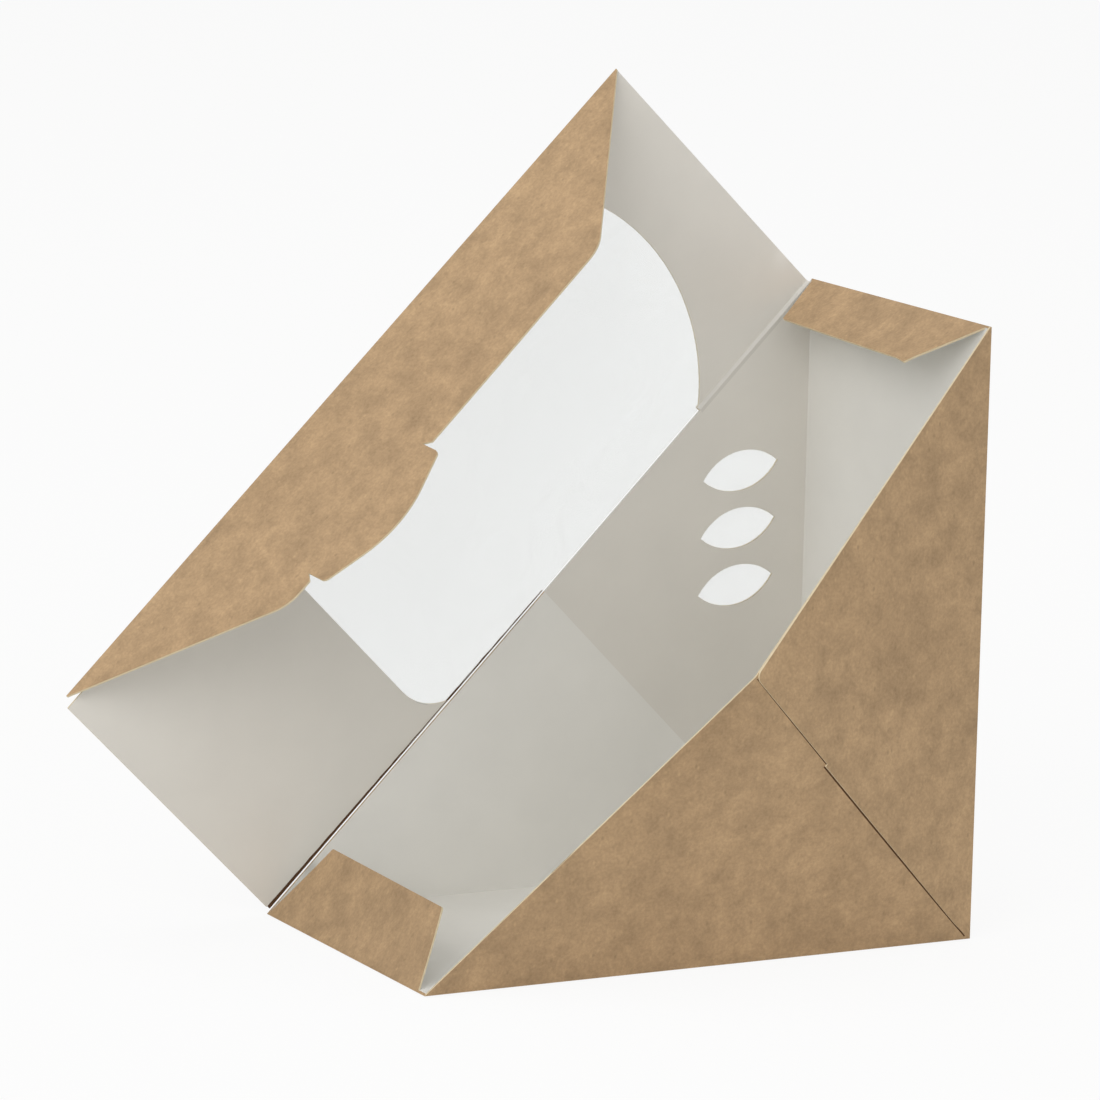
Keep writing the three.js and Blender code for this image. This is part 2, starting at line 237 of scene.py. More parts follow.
def filled(loops, spacing):
    """Triangles that fill an outline less its holes: its own points and a staggered grid inside."""
    low, high = loops[0].min(0), loops[0].max(0)
    rows = np.arange(low[1], high[1], spacing * 0.866)
    columns = np.arange(low[0], high[0], spacing)
    x, y = np.meshgrid(columns, rows)
    x = x + (np.arange(len(rows)) % 2 * spacing / 2)[:, None]
    grid = np.stack([x.ravel(), y.ravel()], 1)
    keep = within(grid, loops[0])
    for loop in loops:
        keep &= from_edge(grid, loop) > spacing * 0.5
    for hole in loops[1:]:
        keep &= ~within(grid, hole)
    points = np.concatenate([*loops, grid[keep]])
    starts = np.cumsum([0] + [len(loop) for loop in loops])
    edges = [(s + i, s + (i + 1) % len(loop)) for s, loop in zip(starts, loops)
             for i in range(len(loop))]
    found = delaunay_2d_cdt([Vector(p) for p in points], edges, [], 0, 1e-6)
    verts = np.array([v[:] for v in found[0]])
    faces = np.array([f[:] for f in found[2]])
    centres = verts[faces].mean(1)
    inside = within(centres, loops[0])
    for hole in loops[1:]:
        inside &= ~within(centres, hole)
    return verts, faces[inside]


def free_edges(faces):
    """Directed edges of the triangles that no other triangle shares."""
    edges = np.concatenate([faces[:, [0, 1]], faces[:, [1, 2]], faces[:, [2, 0]]])
    span = faces.max() + 1
    key = edges[:, 0] * span + edges[:, 1]
    other = edges[:, 1] * span + edges[:, 0]
    return edges[~np.isin(key, other)]


# Meshes. Each patch is (points, faces, finish), where the finish is the material's place.

# Finishes 3 to 5 paint shade: a darker laminated lining, dark brown fold shadow, a darker crease
# lining
KRAFT, LINING, EDGE, LAMINATED_SHADED, SHADOW_AND_TORN_EDGE, CREASE_SHADE = range(6)


def strip(first, second, finish):
    """Ruled strip: quads between two rows of points, the surface (1 - t) * first + t * second."""
    count = len(first)
    i = np.arange(count - 1)
    faces = np.stack([i, i + 1, i + 1 + count, i + count], 1)
    return np.concatenate([first, second]), faces, finish


def swept(profile, start, end, steps, finishes):
    """Closed profile (a row of 3D points) carried from one end point to the other, with an end
    cap at each: point = profile + start + t * (end - start)."""
    t = np.linspace(0, 1, steps)[:, None, None]
    points = profile[None] + start + t * (np.asarray(end) - start)
    size = len(profile)
    i, j = np.meshgrid(np.arange(steps - 1), np.arange(size), indexing="ij")
    after = (j + 1) % size
    here, ahead = i * size, (i + 1) * size
    quads = np.stack([here + j, here + after, ahead + after, ahead + j], 2)
    patches = [(points.reshape(-1, 3), quads[:, k], finishes[k]) for k in range(size)]
    k = np.arange(size)
    fan = np.stack([k, (k + 1) % size, np.full(size, size)], 1)
    for row in (points[0], points[-1]):
        patches.append((np.vstack([row, row.mean(0)]), fan, EDGE))
    return patches


def bar(rows, finish):
    """Closed bar: a ruled strip from each row of points to the next one round, and two ends."""
    patches = [strip(row, rows[(i + 1) % len(rows)], finish) for i, row in enumerate(rows)]
    for end in (0, -1):
        corners = np.array([row[end] for row in rows])
        patches.append((corners, np.arange(len(rows))[None], finish))
    return patches


def board(loops, place, thickness, spacing, finishes=(KRAFT, LINING, EDGE)):
    """Solid sheet: the filled outline at depth 0 and at one thickness, and a rim on every free
    edge. place(xy, depth) gives the surface, so a bend or a wave is a function of x and y."""
    loops = [divided(loop, spacing) for loop in loops]
    verts, faces = filled(loops, spacing)
    count = len(verts)
    outer, inner = place(verts, 0), place(verts, thickness)
    rim = free_edges(faces)
    rim_faces = np.stack([rim[:, 1], rim[:, 0], rim[:, 0] + count, rim[:, 1] + count], 1)
    both = np.concatenate([outer, inner])
    return [(outer, faces, finishes[0]), (inner, faces[:, ::-1], finishes[1]),
            (both, rim_faces, finishes[2])]


def piece(name, patches, materials, body, crease=0, weld=0.002):
    """One object from patches: joined, welded, faces turned outwards, folds and edges rounded."""
    mesh = bpy.data.meshes.new(name)
    points, faces, finishes, start = [], [], [], 0
    for verts, quads, finish in patches:
        points.append(verts)
        faces += (np.asarray(quads) + start).tolist()
        finishes += [finish] * len(quads)
        start += len(verts)
    mesh.from_pydata(np.concatenate(points) * MM, [], faces)
    mesh.polygons.foreach_set("material_index", finishes)
    work = bmesh.new()
    work.from_mesh(mesh)
    bmesh.ops.remove_doubles(work, verts=work.verts, dist=weld * MM)
    bmesh.ops.recalc_face_normals(work, faces=work.faces)
    work.to_mesh(mesh)
    work.free()
    mesh.shade_smooth()
    mesh.set_sharp_from_angle(angle=math.radians(30))
    for material in materials:
        mesh.materials.append(material)
    made = bpy.data.objects.new(name, mesh)
    bpy.context.scene.collection.objects.link(made)
    if crease:
        bevel = made.modifiers.new("rounded folds", "BEVEL")
        bevel.width = crease
        bevel.segments = 2
        bevel.limit_method = "ANGLE"
        bevel.angle_limit = math.radians(35)
        bevel.harden_normals = True
    if body:
        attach(made, body)
    return made


# Materials

def add(tree, kind, inputs=None, **settings):
    """Adds a node, sets its settings, and fills its inputs with values or links sockets to them."""
    node = tree.nodes.new(kind)
    for key, value in settings.items():
        setattr(node, key, value)
    for key, value in (inputs or {}).items():
        if isinstance(value, bpy.types.NodeSocket):
            tree.links.new(value, node.inputs[key])
        else:
            node.inputs[key].default_value = value
    return node


def new_material(name):
    material = bpy.data.materials.new(name)
    material.use_nodes = True
    material.node_tree.nodes.clear()
    return material, material.node_tree


def finish_material(tree, shader):
    add(tree, "ShaderNodeOutputMaterial", {"Surface": shader.outputs[0]})


def shade(rgba, factor):
    return tuple(min(1, channel * factor) for channel in rgba[:3]) + (1,)


def paper_bump(tree, place, fine, broad, fine_strength, broad_strength):
    """Height of pressed paper: fibre grain on top of slow waves, each a noise of its own size."""
    waves = add(tree, "ShaderNodeTexNoise", {"Vector": place, "Scale": broad, "Detail": 1})
    grain = add(tree, "ShaderNodeTexNoise", {"Vector": place, "Scale": fine, "Detail": 3})
    slow = add(tree, "ShaderNodeBump", {"Strength": broad_strength, "Distance": 0.004,
                                        "Height": waves.outputs["Fac"]})
    return add(tree, "ShaderNodeBump", {"Strength": fine_strength, "Distance": 0.0001,
                                        "Height": grain.outputs["Fac"], "Normal": slow.outputs[0]})


def kraft_board(tint):
    """Unbleached kraft liner: brown paper pressed from long wood fibres, uncoated and matt. Its
    pulp forms in clouds some millimetres wide, with fine grain and a few stray fibres on top."""
    material, tree = new_material("uncoated kraft liner")
    place = add(tree, "ShaderNodeTexCoord").outputs["Object"]
    # Clouds of pulp about 3 to 8 mm wide, grain of about 0.6 mm, a tone drift over 40 mm
    clouds = add(tree, "ShaderNodeTexNoise", {"Vector": place, "Scale": 170, "Detail": 9,
                                              "Roughness": 0.72, "Distortion": 0.2})
    drift = add(tree, "ShaderNodeTexNoise", {"Vector": place, "Scale": 24, "Detail": 2})
    grain = add(tree, "ShaderNodeTexNoise", {"Vector": place, "Scale": 1600, "Detail": 3,
                                             "Roughness": 0.6})
    base = None
    layers = ((clouds, 0.3, 0.7, shade(tint, 0.78), shade(tint, 1.2)),
              (drift, 0.35, 0.65, (0.97, 0.965, 0.96, 1), (1.03, 1.03, 1.03, 1)),
              (grain, 0.3, 0.7, (0.9, 0.89, 0.88, 1), (1.1, 1.1, 1.11, 1)))
    for noise, low, high, dark, light in layers:
        spread = add(tree, "ShaderNodeMapRange", {"Value": noise.outputs["Fac"],
                                                  "From Min": low, "From Max": high})
        tone = mixed_colour(tree, "MIX", spread.outputs[0], dark, light)
        base = mixed_colour(tree, "MULTIPLY", 1.0, base, tone) if base else tone
    # Stray fibres and specks 0.3 mm wide, about one in every 4 mm, darker or paler than the rest
    for seed, speck in ((0.0, shade(tint, 0.66)), (3.7, shade(tint, 1.3))):
        moved = add(tree, "ShaderNodeMapping", {
            "Vector": place, "Location": (seed, seed, seed), "Rotation": (0.9 + seed, 0.6, 0),
            "Scale": (1, 1, 0.6)})
        cells = add(tree, "ShaderNodeTexVoronoi", {"Vector": moved.outputs[0], "Scale": 300})
        inside = add(tree, "ShaderNodeMapRange", {"Value": cells.outputs["Distance"],
                                                  "From Min": 0.03, "From Max": 0.12,
                                                  "To Min": 0.6, "To Max": 0.0})
        base = mixed_colour(tree, "MIX", inside.outputs[0], base, speck)
    bump = paper_bump(tree, place, 1800, 30, 0.35, 0.25)
    shader = add(tree, "ShaderNodeBsdfPrincipled", {
        "Base Color": base, "Roughness": 0.86, "IOR": 1.45,
        "Specular IOR Level": 0.3, "Normal": bump.outputs[0]})
    finish_material(tree, shader)
    return material


def mixed_colour(tree, blend, factor, first, second):
    """Output of a Mix node on colours. Its inputs 0, 6 and 7 are the factor and the colours."""
    mix = add(tree, "ShaderNodeMix", {0: factor, 6: first, 7: second}, data_type="RGBA",
              blend_type=blend)
    return mix.outputs[2]


def white_lining(name, tint, roughness):
    """Clay-coated white liner: smooth and nearly matt, glossier and a little greyer under the
    laminated film, with a faint slow mottle where the board below shows through. The greyer
    tints of the laminated and creased linings are partly painted shade."""
    material, tree = new_material(name)
    place = add(tree, "ShaderNodeTexCoord").outputs["Object"]
    mottle = add(tree, "ShaderNodeTexNoise", {"Vector": place, "Scale": 60, "Detail": 5})
    tone = add(tree, "ShaderNodeMapRange", {"Value": mottle.outputs["Fac"], "From Min": 0.3,
                                            "From Max": 0.7, "To Min": 0.0, "To Max": 1.0})
    base = mixed_colour(tree, "MIX", tone.outputs[0], shade(tint, 0.965), shade(tint, 1.015))
    bump = paper_bump(tree, place, 900, 26, 0.12, 0.3)
    shader = add(tree, "ShaderNodeBsdfPrincipled", {
        "Base Color": base, "Roughness": roughness, "IOR": 1.5,
        "Specular IOR Level": 0.35, "Normal": bump.outputs[0]})
    finish_material(tree, shader)
    return material


def cut_edge(name, tint):
    """Bare fibres of the board, rough and dusty: pale at a die-cut edge. The dark brown version is
    painted shadow along the near seam's fold and in the lid's slit, where it also colours the torn
    edge."""
    material, tree = new_material(name)
    place = add(tree, "ShaderNodeTexCoord").outputs["Object"]
    fibres = add(tree, "ShaderNodeTexNoise", {"Vector": place, "Scale": 900, "Detail": 3})
    base = mixed_colour(tree, "MIX", fibres.outputs["Fac"], shade(tint, 0.85), shade(tint, 1.08))
    shader = add(tree, "ShaderNodeBsdfPrincipled", {
        "Base Color": base, "Roughness": 0.9, "IOR": 1.45, "Specular IOR Level": 0.2})
    finish_material(tree, shader)
    return material


def clear_film(tint, cover):
    """Clear polymer film laminated to the lining: glossy, almost invisible face on, with slack
    ripples a few millimetres apart that catch the light."""
    material, tree = new_material("clear laminated film")
    place = add(tree, "ShaderNodeTexCoord").outputs["Object"]
    ripples = add(tree, "ShaderNodeTexNoise", {"Vector": place, "Scale": 70, "Detail": 2,
                                               "Distortion": 1.2})
    bump = add(tree, "ShaderNodeBump", {"Strength": 0.5, "Distance": 0.003,
                                        "Height": ripples.outputs["Fac"]})
    shader = add(tree, "ShaderNodeBsdfPrincipled", {
        "Base Color": tint, "Roughness": 0.12, "IOR": 1.5, "Alpha": cover,
        "Normal": bump.outputs[0]})
    finish_material(tree, shader)
    material.surface_render_method = "BLENDED"
    return material


_finishes = {}


def board_finishes():
    """The board's finishes, made once, in the order of their numbers KRAFT to CREASE_SHADE."""
    if "board" not in _finishes:
        settings = bpy.context.scene.wedge_board
        _finishes["board"] = (
            kraft_board(settings.kraft),
            white_lining("white clay-coated lining", settings.lining, 0.55),
            cut_edge("die-cut board edge", settings.edge),
            # The laminated lining: glossier under the film, and darker partly as painted shade
            white_lining("film-laminated lining with painted shade", settings.laminated, 0.38),
            # The dark brown finish: painted shadow of folds and of the slit's gap
            cut_edge("painted fold shadow and torn kraft edge", settings.scored),
            # The creased lining is the laminated lining 12% darker: painted shade on the crease's
            # lit band
            white_lining("crease lining with painted shade", shade(settings.laminated, 0.88), 0.45))
    return _finishes["board"]


def film_finish():
    if "film" not in _finishes:
        settings = bpy.context.scene.wedge_windows
        _finishes["film"] = clear_film(settings.film_tint, settings.film_cover)
    return _finishes["film"]


# Placing a panel

def plane_through(a, b, c, depth):
    """Plane (normal, offset) through three points, moved inwards by a depth."""
    normal = unit(np.cross(b - a, c - a))
    if normal @ (middle - a) < 0:
        normal = -normal
    return normal, normal @ a + depth


def meet(*planes):
    """Point where three planes meet: normals . point = offsets."""
    return np.linalg.solve([p[0] for p in planes], [p[1] for p in planes])


def panel_place(origin, fold_end, leaf, lift=lambda xy: 0.0):
    """Surface of a panel: origin + x along the fold + y across it, and depth and lift along the
    inward normal."""
    along = unit(fold_end - origin)
    inwards = unit(np.cross(along, leaf - origin))
    over = np.cross(inwards, along)
    if inwards @ (middle - origin) < 0:
        inwards = -inwards

    def place(xy, depth):
        rise = np.asarray(depth + lift(xy) * np.ones(len(xy)))[:, None]
        return origin + xy[:, :1] * along + xy[:, 1:] * over + rise * inwards
    return place


def flat_patch(corners, holes, spacing, finish, lift=None):
    """Polygon with holes in 3D, filled in its own plane. lift(points, distances from the edge)
    moves points off it."""
    origin = corners[0]
    x = unit(corners[1] - origin)
    normal = unit(np.cross(x, corners[-1] - origin))
    y = np.cross(normal, x)
    basis = np.stack([x, y], 1)
    loops = [divided((corners - origin) @ basis, spacing)] + [(h - origin) @ basis for h in holes]
    verts, faces = filled(loops, spacing)
    points = origin + verts @ basis.T
    if lift is not None:
        points = points + lift(points, from_edge(verts, loops[0]))[:, None] * normal
    return points, faces, finish


def side_windows(margin):
    """The three lens-shaped side windows in the XZ plane, one above another, tilted up towards
    the back, each larger by the margin at its sides and by 2.2 times that at its points."""
    windows = bpy.context.scene.wedge_windows
    long, wide = windows.vent_length / MM, windows.vent_width / MM
    x, lowest = VENT_LOWEST
    return [lens((x, lowest + i * VENT_PITCH), long + 4.4 * margin, wide + 2 * margin,
                 math.radians(VENT_TILT)) for i in range(3)]


def slow_wave(points, amount, seed):
    """Gentle waves of a panel: sines of 60 to 110 mm wavelength along three skew directions."""
    rng = np.random.default_rng(seed)
    ways = rng.normal(size=(3, 3))
    ways /= np.linalg.norm(ways, axis=1)[:, None]
    lengths = rng.uniform(60, 110, 3)
    phases = rng.uniform(0, 2 * math.pi, 3)
    return amount * np.sin(points @ ways.T * (2 * math.pi / lengths) + phases).mean(1)


# Operators

class CARTON_OT_shell(bpy.types.Operator):
    """Bottom, back and both sides of the wedge, with the lens-shaped windows in the far side"""
    bl_idname = "wedge.carton_shell"
    bl_label = "Carton shell"

    def execute(self, context):
        settings = context.scene.wedge_board
        depth, spacing = settings.thickness / MM, settings.mesh / MM
        amount = settings.wave / MM

        def hull(inset):
            """Corners of the wedge's outer or inner faces, and its mouth's edges."""
            bottom = plane_through(front_near, corner_near, corner_far, inset)
            back = plane_through(corner_near, top_near, top_far, inset)
            far = plane_through(front_far, corner_far, top_far, inset)
            lower = plane_through(front_near, corner_near, seam_tip, inset)
            upper = plane_through(top_near, corner_near, seam_tip, inset)
            mouth = plane_through(front_near, top_near, top_far, 0)
            tip = (seam_way, seam_way @ seam_tip)
            return dict(E=meet(bottom, lower, mouth), D=meet(bottom, lower, upper),
                        C=meet(back, upper, mouth), T=meet(lower, upper, tip),
                        F=meet(bottom, far, mouth), K=meet(bottom, back, far),
                        B=meet(back, far, mouth),
                        M=(meet(bottom, far, mouth) + meet(back, far, mouth)) / 2)

        def windows_at(y):
            return [np.insert(hole, 1, y, axis=1) for hole in side_windows(0)]

        def wavy(names, seed):
            """Waves that die out within 12 mm of the panel's own folds. The bottom and back wave
            only inwards."""
            inwards = amount if names in ("FEDK", "DCBK") else 0

            def lift(points, edge):
                wave = (slow_wave(points, amount, seed) + inwards) / 2
                return wave * np.clip(edge / 12, 0, 1) ** 2
            return lift

        patches = []
        outer, inner = hull(0), hull(depth)
        for k, finish in ((outer, KRAFT), (inner, LINING)):
            # The far side's upper half takes the laminated lining, darker partly as painted shade
            upper = KRAFT if finish == KRAFT else LAMINATED_SHADED
            panels = [("FEDK", [], finish), ("DCBK", [], finish), ("EDT", [], finish),
                      ("CDT", [], finish), ("KFM", [], finish),
                      ("KMB", windows_at(k["F"][1]), upper)]
            for seed, (names, holes, face) in enumerate(panels):
                corners = np.array([k[name] for name in names])
                patches.append(flat_patch(corners, holes, spacing, face, wavy(names, seed)))
        # The far side's top rim MB takes the creased lining: painted shade where the key lit it
        rims = (("EF", KRAFT), ("FM", KRAFT), ("MB", CREASE_SHADE), ("BC", KRAFT), ("CT", EDGE),
                ("TE", EDGE))
        for (start, end), finish in rims:
            count = math.ceil(np.linalg.norm(outer[end] - outer[start]) / spacing) + 1
            t = np.linspace(0, 1, count)[:, None]
            rows = [k[start] + t * (k[end] - k[start]) for k in (outer, inner)]
            patches.append(strip(*rows, finish))
        for near, far in zip(windows_at(outer["F"][1]), windows_at(inner["F"][1])):
            patches.append(strip(np.vstack([near, near[:1]]), np.vstack([far, far[:1]]), EDGE))
        shell = piece("carton_shell", patches, board_finishes(), "carton",
                      settings.crease)
        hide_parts("carton_body")
        return {"FINISHED"}


def seam_point(along, past):
    """Point of a side's upper half, x down from its top corner: along the seam from the back
    bottom corner, and past it."""
    slope = math.sqrt(0.5)
    return [LEG + slope * (past - along), slope * (past + along)]


class CARTON_OT_seam(bpy.types.Operator):
    """Near side's upper half, which laps over the lower one with a bare cut edge by the mouth"""
    bl_idname = "wedge.near_seam"
    bl_label = "Near seam"

    def execute(self, context):
        settings = context.scene.wedge_board
        depth, spacing = settings.thickness / MM, settings.mesh / MM
        cut_start = seam_length - CUT_SEAM
        outline = rounded([
            [0, 0.3], [LEG - 0.8, 0.3], seam_point(1, 0.25), seam_point(6, LAP),
            seam_point(cut_start, LAP), seam_point(cut_start, 0),
            [*seam_point(seam_length, 0), 1.6]])
        inwards = plane_through(top_near, corner_near, seam_tip, 0)[0]
        sunk, proud = 0.03 * inwards, -depth * 0.9 * inwards
        place = panel_place(top_near + sunk, corner_near + sunk, seam_tip + proud)
        piece("near_upper_half", board([outline], place, depth, spacing), board_finishes(),
              "carton", settings.crease)
        self.seam_shadow_line(cut_start)
        return {"FINISHED"}

    def seam_shadow_line(self, cut_start):
        """Dark strip of painted shadow on the lower half beside the lap, 0.42 mm * sin(pi t)^0.3
        wide and narrower by the cut edge."""
        folded = np.linspace(1.5, cut_start, 40)
        along = np.concatenate([folded, np.linspace(cut_start, seam_length - 0.6, 20)])
        by_fold = np.arange(len(along)) < len(folded)
        past = np.where(by_fold, LAP, 0) - 0.05
        share = (along - along[0]) / (along[-1] - along[0])
        width = 0.42 * np.sin(math.pi * np.clip(share, 0.02, 0.98)) ** 0.3
        width *= np.where(by_fold, 1, 0.6)
        lower = panel_place(corner_near, front_near, seam_tip)
        under, over = past - 0.1, past + width
        rows = [lower(math.sqrt(0.5) * np.stack([along + offset, along - offset], 1), inwards)
                for offset, inwards in ((under, -0.02), (over, -0.02), (over, 0.05), (under, 0.05))]
        # The dark brown bar paints the shadow under the lap's fold
        piece("seam_shadow_strip", bar(rows, SHADOW_AND_TORN_EDGE), board_finishes(), "carton")


class CARTON_OT_dust_flaps(bpy.types.Operator):
    """The two dust flaps, folded from the bottom and back panels and standing a little proud of
    the mouth until the lid presses them in"""
    bl_idname = "wedge.dust_flaps"
    bl_label = "Dust flaps"

    def execute(self, context):
        settings = context.scene.wedge_board
        depth, spacing = settings.thickness / MM, settings.mesh / MM
        bottom_way = direction(BOTTOM_FLAP_ANGLE)
        back_front = np.array([-back_up[2], 0, back_up[0]])
        turn = math.radians(TOP_FLAP_ANGLE)
        back_way = back_front * math.sin(turn) - back_up * math.cos(turn)
        flaps = {
            "bottom_dust_flap": (front_far, front_near, bottom_way, rounded([
                [0.5, 0.3], [WIDTH - 3, 0.3], [WIDTH - 9.6, 16.5, 0.8], [10.6, 17.3, 0.8]])),
            "top_dust_flap": (top_far, top_near, back_way, rounded([
                [0.5, 0], [WIDTH - 1.2, 0], [54.7, 12.4, 0.5], [53.6, 14.5, 0.4], [50, 13.9],
                [5.7, 12.4, 0.8]])),
        }

        def bowed(xy):
            """A flap bows in its middle: rise = bow * sin(pi x / width) * sin(pi y / depth)."""
            across_x = np.sin(math.pi * xy[:, 0] / WIDTH)
            return FLAP_BOW * across_x * np.sin(math.pi * np.clip(xy[:, 1] / FLAP_DEPTH, 0, 1))

        for name, (start, end, way, outline) in flaps.items():
            place = panel_place(start, end, start + way, bowed)
            made = piece(name, board([outline], place, depth, spacing), board_finishes(),
                         "carton", settings.crease)
            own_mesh(made)
        return {"FINISHED"}


def lid_place(lift=lambda xy: 0.0):
    """Surface of the lid: x down the mouth, y out from the hinge, depth from its kraft face."""
    def place(xy, depth):
        rise = np.asarray(GAP + BOARD - depth + lift(xy) * np.ones(len(xy)))[:, None]
        return top_far - xy[:, :1] * mouth_up + xy[:, 1:] * mouth_out + rise * y_axis
    return place


def window_outline(inset, past):
    """Window of the lid: one arc at the top, a straight far edge and a rounded foot. It runs out
    through the hinge edge."""
    top, arch, centre_y = 21.1, 43, 33
    top_radius, top_centre = arch - inset, top + arch
    far, foot = 56 - inset, 121 - inset
    foot_radius, far_radius, foot_y = 10.4 - inset, 8 - inset, 9.4
    foot_start = math.asin((past - foot_y) / foot_radius)

    def arc(x, y, radius, start, end, steps):
        angle = np.linspace(start, end, steps)
        return np.stack([x + radius * np.cos(angle), y + radius * np.sin(angle)], 1)

    def angle_at(y):
        return math.pi - math.asin((y - centre_y) / top_radius)
    return np.concatenate([
        arc(foot - foot_radius, foot_y, foot_radius, foot_start, 0, 9),
        arc(foot - far_radius, far - far_radius, far_radius, 0, math.pi / 2, 9),
        arc(top_centre, centre_y, top_radius, angle_at(far), angle_at(past), 24)])


def lid_wave(xy):
    """Slow waves of the lid's board, up to 0.4 mm inwards in its middle and 0 at its edges."""
    x, y = xy[:, 0], xy[:, 1]
    long_wave = np.sin(x / mouth_length * 3 * math.pi + 0.6)
    swell = 0.12 * long_wave + 0.08 * np.sin(x / 23 + 1.1) - 0.2
    from_ends = np.clip(np.minimum(x - LID_END, mouth_length - LID_END - x) / 10 - 0.4, 0, 1)
    return swell * from_ends * np.clip(y / LID_WIDTH, 0, 1) * np.clip((LID_WIDTH - y) / 8, 0, 1)


class CARTON_OT_lid(bpy.types.Operator):
    """The lid's board round its window, and the crease that hangs it on the far side"""
    bl_idname = "wedge.lid"
    bl_label = "Lid"

    def execute(self, context):
        settings = context.scene.wedge_board
        depth, spacing = settings.thickness / MM, settings.mesh / MM
        end = mouth_length - LID_END
        window = window_outline(0, HINGE_CLEAR)
        slit_side = [[end, SLIT_WIDTH], [end, LID_WIDTH, LID_CORNER],
                     [LID_END, LID_WIDTH, LID_CORNER], [LID_END, HINGE_CLEAR]]
        outline = np.concatenate([rounded(slit_side), window[::-1]])
        # The lid's lining is the laminated lining, darker partly as painted shade
        made = piece("lid_board", board([outline], lid_place(lid_wave), depth, spacing,
                                        (KRAFT, LAMINATED_SHADED, EDGE)),
                     board_finishes(), "lid", settings.crease)
        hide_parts("lid")
        self.hinge_crease(depth, window[-1, 0])
        self.slit_lip_and_shadow(end)
        return {"FINISHED"}

    def slit_lip_and_shadow(self, end):
        """Torn edge of the lid's side of the slit, dark brown as painted shadow of the gap: a thin
        lip within the lid's thickness, which stands out from the hinge by torn width * (x - middle)
        / (end - middle)."""
        middle_x = mouth_length / 2
        x = np.linspace(middle_x, end - 0.2, 60)
        gap = TORN_WIDTH * (x - middle_x) / (end - middle_x)
        tear = 0.05 * np.sin(x * 2.3) * np.sin(x * 0.9 + 1)
        place = lid_place()
        hinge, lip = np.full(len(x), HINGE_CLEAR), gap + 0.2 + tear
        rows = [place(np.stack([x, m], 1), inwards)
                for m, inwards in ((lip, 0.42), (hinge, 0.38), (hinge, 0.1), (lip, 0.1))]
        # The lip is dark brown: partly the torn kraft edge, partly painted shadow filling the gap
        piece("slit_lip_and_shadow", bar(rows, SHADOW_AND_TORN_EDGE), board_finishes(), "lid")

    def hinge_crease(self, depth, hinge_end):
        """Fold between the far side and the lid: an S-shaped profile in the plane across the
        hinge, y = the side's face + (gap + board) * smoothstep(distance past the fold)."""
        steps = 16
        m = np.linspace(-CREASE_REACH, CREASE_REACH, steps + 1)

        def smooth(t):
            t = np.clip(t, 0, 1)
            return t * t * (3 - 2 * t)
        step = GAP + depth
        lined = WIDTH / 2 - depth - 0.02 + step * smooth(m / CREASE_REACH)
        outer = WIDTH / 2 + 0.02 + step * smooth(m / CREASE_REACH + 1)
        ring = np.concatenate([np.stack([m, lined], 1), np.stack([m, outer], 1)[::-1]])
        profile = ring[:, :1] * mouth_out + ring[:, 1:] * y_axis
        base = top_far - [0, WIDTH / 2, 0]
        start, end = base - LID_END * mouth_up, base - hinge_end * mouth_up
        # The crease's lined side takes the creased lining, darkened as painted shade
        sides = [CREASE_SHADE] * steps + [EDGE] + [KRAFT] * steps + [EDGE]
        made = piece("lid_crease", swept(profile, start, end, 14, sides), board_finishes(), None)
        start, end = ((top_far + way * CREASE_REACH * mouth_out) * MM for way in (-1, 1))
        tuple(start)
        tuple(end)
        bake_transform(made)


def tuck_frame():
    """The tuck flap's fold, the way across the flap from it, and the way out of its kraft face."""
    turn = math.radians(TUCK_ANGLE)
    fold = top_far + (LID_WIDTH + GAP / 2) * mouth_out + GAP * y_axis
    down = -math.cos(turn) * mouth_out - math.sin(turn) * y_axis
    out = math.sin(turn) * mouth_out - math.cos(turn) * y_axis
    return fold, down, out


